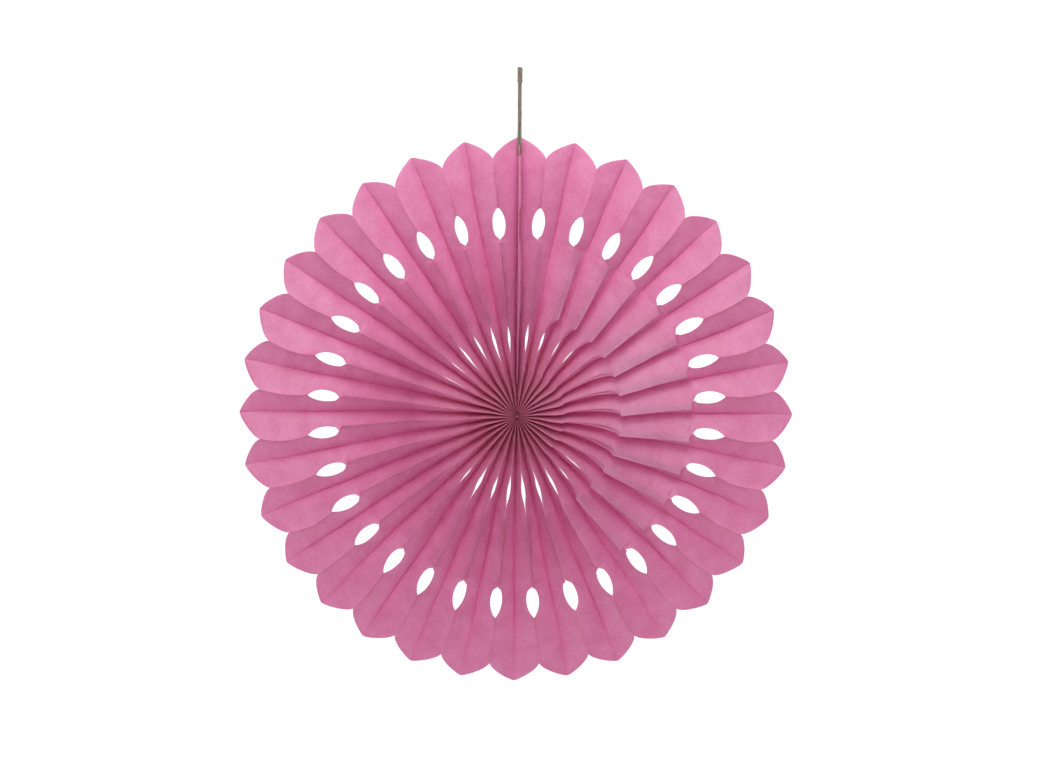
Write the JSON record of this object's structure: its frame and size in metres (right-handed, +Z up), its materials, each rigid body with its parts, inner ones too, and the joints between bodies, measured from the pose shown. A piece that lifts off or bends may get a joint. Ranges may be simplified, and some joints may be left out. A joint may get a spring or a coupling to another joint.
{
  "type": "pleated tissue paper hanging fan",
  "caption": "Round hanging fan of pleated pink tissue paper with a scalloped rim, oval cut-outs and a twine cord; it folds flat at its seam.",
  "frame": {"origin": "top of the hanging cord's knot, where the fan is held", "axes": "+Z up along the cord, -Y out of the fan's front, +X to the right seen from the front; the fan is a flat disc in the XZ plane"},
  "size_m": [0.3998, 0.02, 0.4499],
  "materials": {
    "tissue": "matt tissue paper, slightly see-through",
    "card": "thin uncoated card, dyed pink",
    "adhesive": "tacky double-sided foam tape",
    "thread": "white cotton thread",
    "twine": "brown-grey jute twine"
  },
  "bodies": {
    "hanging_end": {"cord_knot": "twine"},
    "seam_side": {"hanging_cord": "twine", "cord_loop": "twine", "end_card_right": "card", "end_panel_right": "tissue", "adhesive_pad_outer": "adhesive", "adhesive_pad_inner": "adhesive", "centre_thread": "thread", "centre_thread_knot": "thread"},
    "closing_side": {"end_card_left": "card", "end_panel_left": "tissue"},
    "pleat_01": {"pleat_01": "tissue"},
    "pleat_02": {"pleat_02": "tissue"},
    "pleat_03": {"pleat_03": "tissue"},
    "pleat_04": {"pleat_04": "tissue"},
    "pleat_05": {"pleat_05": "tissue"},
    "pleat_06": {"pleat_06": "tissue"},
    "pleat_07": {"pleat_07": "tissue"},
    "pleat_08": {"pleat_08": "tissue"},
    "pleat_09": {"pleat_09": "tissue"},
    "pleat_10": {"pleat_10": "tissue"},
    "pleat_11": {"pleat_11": "tissue"},
    "pleat_12": {"pleat_12": "tissue"},
    "pleat_13": {"pleat_13": "tissue"},
    "pleat_14": {"pleat_14": "tissue"},
    "pleat_15": {"pleat_15": "tissue"},
    "pleat_16": {"pleat_16": "tissue"},
    "pleat_17": {"pleat_17": "tissue"},
    "pleat_18": {"pleat_18": "tissue"},
    "pleat_19": {"pleat_19": "tissue"},
    "pleat_20": {"pleat_20": "tissue"},
    "pleat_21": {"pleat_21": "tissue"},
    "pleat_22": {"pleat_22": "tissue"},
    "pleat_23": {"pleat_23": "tissue"},
    "pleat_24": {"pleat_24": "tissue"},
    "pleat_25": {"pleat_25": "tissue"},
    "pleat_26": {"pleat_26": "tissue"},
    "pleat_27": {"pleat_27": "tissue"},
    "pleat_28": {"pleat_28": "tissue"},
    "pleat_29": {"pleat_29": "tissue"},
    "pleat_30": {"pleat_30": "tissue"},
    "pleat_31": {"pleat_31": "tissue"},
    "pleat_32": {"pleat_32": "tissue"}
  },
  "joints": [
    {"name": "cord_twist", "type": "hinge", "parent": "hanging_end", "child": "seam_side", "pos_m": [0, 0, -0.012], "axis": [0, 0, 1], "range_deg": [-180, 180], "stiffness_Nm_per_rad": 0.0002},
    {"name": "fan_fold", "type": "hinge", "parent": "seam_side", "child": "closing_side", "pos_m": [0, 0, -0.25], "axis": [0, -1, 0], "range_deg": [0, 354]},
    {"name": "pleat_01_fold", "type": "hinge", "parent": "seam_side", "child": "pleat_01", "pos_m": [0, 0, -0.25], "axis": [0, -1, 0], "range_deg": [0, 6.03], "deforming": ["pleat_01"]},
    {"name": "pleat_02_fold", "type": "hinge", "parent": "seam_side", "child": "pleat_02", "pos_m": [0, 0, -0.25], "axis": [0, -1, 0], "range_deg": [0, 17.09], "deforming": ["pleat_02"]},
    {"name": "pleat_03_fold", "type": "hinge", "parent": "seam_side", "child": "pleat_03", "pos_m": [0, 0, -0.25], "axis": [0, -1, 0], "range_deg": [0, 28.16], "deforming": ["pleat_03"]},
    {"name": "pleat_04_fold", "type": "hinge", "parent": "seam_side", "child": "pleat_04", "pos_m": [0, 0, -0.25], "axis": [0, -1, 0], "range_deg": [0, 39.22], "deforming": ["pleat_04"]},
    {"name": "pleat_05_fold", "type": "hinge", "parent": "seam_side", "child": "pleat_05", "pos_m": [0, 0, -0.25], "axis": [0, -1, 0], "range_deg": [0, 50.28], "deforming": ["pleat_05"]},
    {"name": "pleat_06_fold", "type": "hinge", "parent": "seam_side", "child": "pleat_06", "pos_m": [0, 0, -0.25], "axis": [0, -1, 0], "range_deg": [0, 61.34], "deforming": ["pleat_06"]},
    {"name": "pleat_07_fold", "type": "hinge", "parent": "seam_side", "child": "pleat_07", "pos_m": [0, 0, -0.25], "axis": [0, -1, 0], "range_deg": [0, 72.41], "deforming": ["pleat_07"]},
    {"name": "pleat_08_fold", "type": "hinge", "parent": "seam_side", "child": "pleat_08", "pos_m": [0, 0, -0.25], "axis": [0, -1, 0], "range_deg": [0, 83.47], "deforming": ["pleat_08"]},
    {"name": "pleat_09_fold", "type": "hinge", "parent": "seam_side", "child": "pleat_09", "pos_m": [0, 0, -0.25], "axis": [0, -1, 0], "range_deg": [0, 94.53], "deforming": ["pleat_09"]},
    {"name": "pleat_10_fold", "type": "hinge", "parent": "seam_side", "child": "pleat_10", "pos_m": [0, 0, -0.25], "axis": [0, -1, 0], "range_deg": [0, 105.59], "deforming": ["pleat_10"]},
    {"name": "pleat_11_fold", "type": "hinge", "parent": "seam_side", "child": "pleat_11", "pos_m": [0, 0, -0.25], "axis": [0, -1, 0], "range_deg": [0, 116.66], "deforming": ["pleat_11"]},
    {"name": "pleat_12_fold", "type": "hinge", "parent": "seam_side", "child": "pleat_12", "pos_m": [0, 0, -0.25], "axis": [0, -1, 0], "range_deg": [0, 127.72], "deforming": ["pleat_12"]},
    {"name": "pleat_13_fold", "type": "hinge", "parent": "seam_side", "child": "pleat_13", "pos_m": [0, 0, -0.25], "axis": [0, -1, 0], "range_deg": [0, 138.78], "deforming": ["pleat_13"]},
    {"name": "pleat_14_fold", "type": "hinge", "parent": "seam_side", "child": "pleat_14", "pos_m": [0, 0, -0.25], "axis": [0, -1, 0], "range_deg": [0, 149.84], "deforming": ["pleat_14"]},
    {"name": "pleat_15_fold", "type": "hinge", "parent": "seam_side", "child": "pleat_15", "pos_m": [0, 0, -0.25], "axis": [0, -1, 0], "range_deg": [0, 160.91], "deforming": ["pleat_15"]},
    {"name": "pleat_16_fold", "type": "hinge", "parent": "seam_side", "child": "pleat_16", "pos_m": [0, 0, -0.25], "axis": [0, -1, 0], "range_deg": [0, 171.97], "deforming": ["pleat_16"]},
    {"name": "pleat_17_fold", "type": "hinge", "parent": "seam_side", "child": "pleat_17", "pos_m": [0, 0, -0.25], "axis": [0, -1, 0], "range_deg": [0, 183.03], "deforming": ["pleat_17"]},
    {"name": "pleat_18_fold", "type": "hinge", "parent": "seam_side", "child": "pleat_18", "pos_m": [0, 0, -0.25], "axis": [0, -1, 0], "range_deg": [0, 194.09], "deforming": ["pleat_18"]},
    {"name": "pleat_19_fold", "type": "hinge", "parent": "seam_side", "child": "pleat_19", "pos_m": [0, 0, -0.25], "axis": [0, -1, 0], "range_deg": [0, 205.16], "deforming": ["pleat_19"]},
    {"name": "pleat_20_fold", "type": "hinge", "parent": "seam_side", "child": "pleat_20", "pos_m": [0, 0, -0.25], "axis": [0, -1, 0], "range_deg": [0, 216.22], "deforming": ["pleat_20"]},
    {"name": "pleat_21_fold", "type": "hinge", "parent": "seam_side", "child": "pleat_21", "pos_m": [0, 0, -0.25], "axis": [0, -1, 0], "range_deg": [0, 227.28], "deforming": ["pleat_21"]},
    {"name": "pleat_22_fold", "type": "hinge", "parent": "seam_side", "child": "pleat_22", "pos_m": [0, 0, -0.25], "axis": [0, -1, 0], "range_deg": [0, 238.34], "deforming": ["pleat_22"]},
    {"name": "pleat_23_fold", "type": "hinge", "parent": "seam_side", "child": "pleat_23", "pos_m": [0, 0, -0.25], "axis": [0, -1, 0], "range_deg": [0, 249.41], "deforming": ["pleat_23"]},
    {"name": "pleat_24_fold", "type": "hinge", "parent": "seam_side", "child": "pleat_24", "pos_m": [0, 0, -0.25], "axis": [0, -1, 0], "range_deg": [0, 260.47], "deforming": ["pleat_24"]},
    {"name": "pleat_25_fold", "type": "hinge", "parent": "seam_side", "child": "pleat_25", "pos_m": [0, 0, -0.25], "axis": [0, -1, 0], "range_deg": [0, 271.53], "deforming": ["pleat_25"]},
    {"name": "pleat_26_fold", "type": "hinge", "parent": "seam_side", "child": "pleat_26", "pos_m": [0, 0, -0.25], "axis": [0, -1, 0], "range_deg": [0, 282.59], "deforming": ["pleat_26"]},
    {"name": "pleat_27_fold", "type": "hinge", "parent": "seam_side", "child": "pleat_27", "pos_m": [0, 0, -0.25], "axis": [0, -1, 0], "range_deg": [0, 293.66], "deforming": ["pleat_27"]},
    {"name": "pleat_28_fold", "type": "hinge", "parent": "seam_side", "child": "pleat_28", "pos_m": [0, 0, -0.25], "axis": [0, -1, 0], "range_deg": [0, 304.72], "deforming": ["pleat_28"]},
    {"name": "pleat_29_fold", "type": "hinge", "parent": "seam_side", "child": "pleat_29", "pos_m": [0, 0, -0.25], "axis": [0, -1, 0], "range_deg": [0, 315.78], "deforming": ["pleat_29"]},
    {"name": "pleat_30_fold", "type": "hinge", "parent": "seam_side", "child": "pleat_30", "pos_m": [0, 0, -0.25], "axis": [0, -1, 0], "range_deg": [0, 326.84], "deforming": ["pleat_30"]},
    {"name": "pleat_31_fold", "type": "hinge", "parent": "seam_side", "child": "pleat_31", "pos_m": [0, 0, -0.25], "axis": [0, -1, 0], "range_deg": [0, 337.91], "deforming": ["pleat_31"]},
    {"name": "pleat_32_fold", "type": "hinge", "parent": "seam_side", "child": "pleat_32", "pos_m": [0, 0, -0.25], "axis": [0, -1, 0], "range_deg": [0, 348.97], "deforming": ["pleat_32"]}
  ],
  "couplings": [
    {"joint": "pleat_01_fold", "follows": "fan_fold", "ratio": 0.015625},
    {"joint": "pleat_02_fold", "follows": "fan_fold", "ratio": 0.046875},
    {"joint": "pleat_03_fold", "follows": "fan_fold", "ratio": 0.078125},
    {"joint": "pleat_04_fold", "follows": "fan_fold", "ratio": 0.10938},
    {"joint": "pleat_05_fold", "follows": "fan_fold", "ratio": 0.14062},
    {"joint": "pleat_06_fold", "follows": "fan_fold", "ratio": 0.17188},
    {"joint": "pleat_07_fold", "follows": "fan_fold", "ratio": 0.20312},
    {"joint": "pleat_08_fold", "follows": "fan_fold", "ratio": 0.23438},
    {"joint": "pleat_09_fold", "follows": "fan_fold", "ratio": 0.26562},
    {"joint": "pleat_10_fold", "follows": "fan_fold", "ratio": 0.29688},
    {"joint": "pleat_11_fold", "follows": "fan_fold", "ratio": 0.32812},
    {"joint": "pleat_12_fold", "follows": "fan_fold", "ratio": 0.35938},
    {"joint": "pleat_13_fold", "follows": "fan_fold", "ratio": 0.39062},
    {"joint": "pleat_14_fold", "follows": "fan_fold", "ratio": 0.42188},
    {"joint": "pleat_15_fold", "follows": "fan_fold", "ratio": 0.45312},
    {"joint": "pleat_16_fold", "follows": "fan_fold", "ratio": 0.48438},
    {"joint": "pleat_17_fold", "follows": "fan_fold", "ratio": 0.51562},
    {"joint": "pleat_18_fold", "follows": "fan_fold", "ratio": 0.54688},
    {"joint": "pleat_19_fold", "follows": "fan_fold", "ratio": 0.57812},
    {"joint": "pleat_20_fold", "follows": "fan_fold", "ratio": 0.60938},
    {"joint": "pleat_21_fold", "follows": "fan_fold", "ratio": 0.64062},
    {"joint": "pleat_22_fold", "follows": "fan_fold", "ratio": 0.67188},
    {"joint": "pleat_23_fold", "follows": "fan_fold", "ratio": 0.70312},
    {"joint": "pleat_24_fold", "follows": "fan_fold", "ratio": 0.73438},
    {"joint": "pleat_25_fold", "follows": "fan_fold", "ratio": 0.76562},
    {"joint": "pleat_26_fold", "follows": "fan_fold", "ratio": 0.79688},
    {"joint": "pleat_27_fold", "follows": "fan_fold", "ratio": 0.82812},
    {"joint": "pleat_28_fold", "follows": "fan_fold", "ratio": 0.85938},
    {"joint": "pleat_29_fold", "follows": "fan_fold", "ratio": 0.89062},
    {"joint": "pleat_30_fold", "follows": "fan_fold", "ratio": 0.92188},
    {"joint": "pleat_31_fold", "follows": "fan_fold", "ratio": 0.95312},
    {"joint": "pleat_32_fold", "follows": "fan_fold", "ratio": 0.98438}
  ]
}
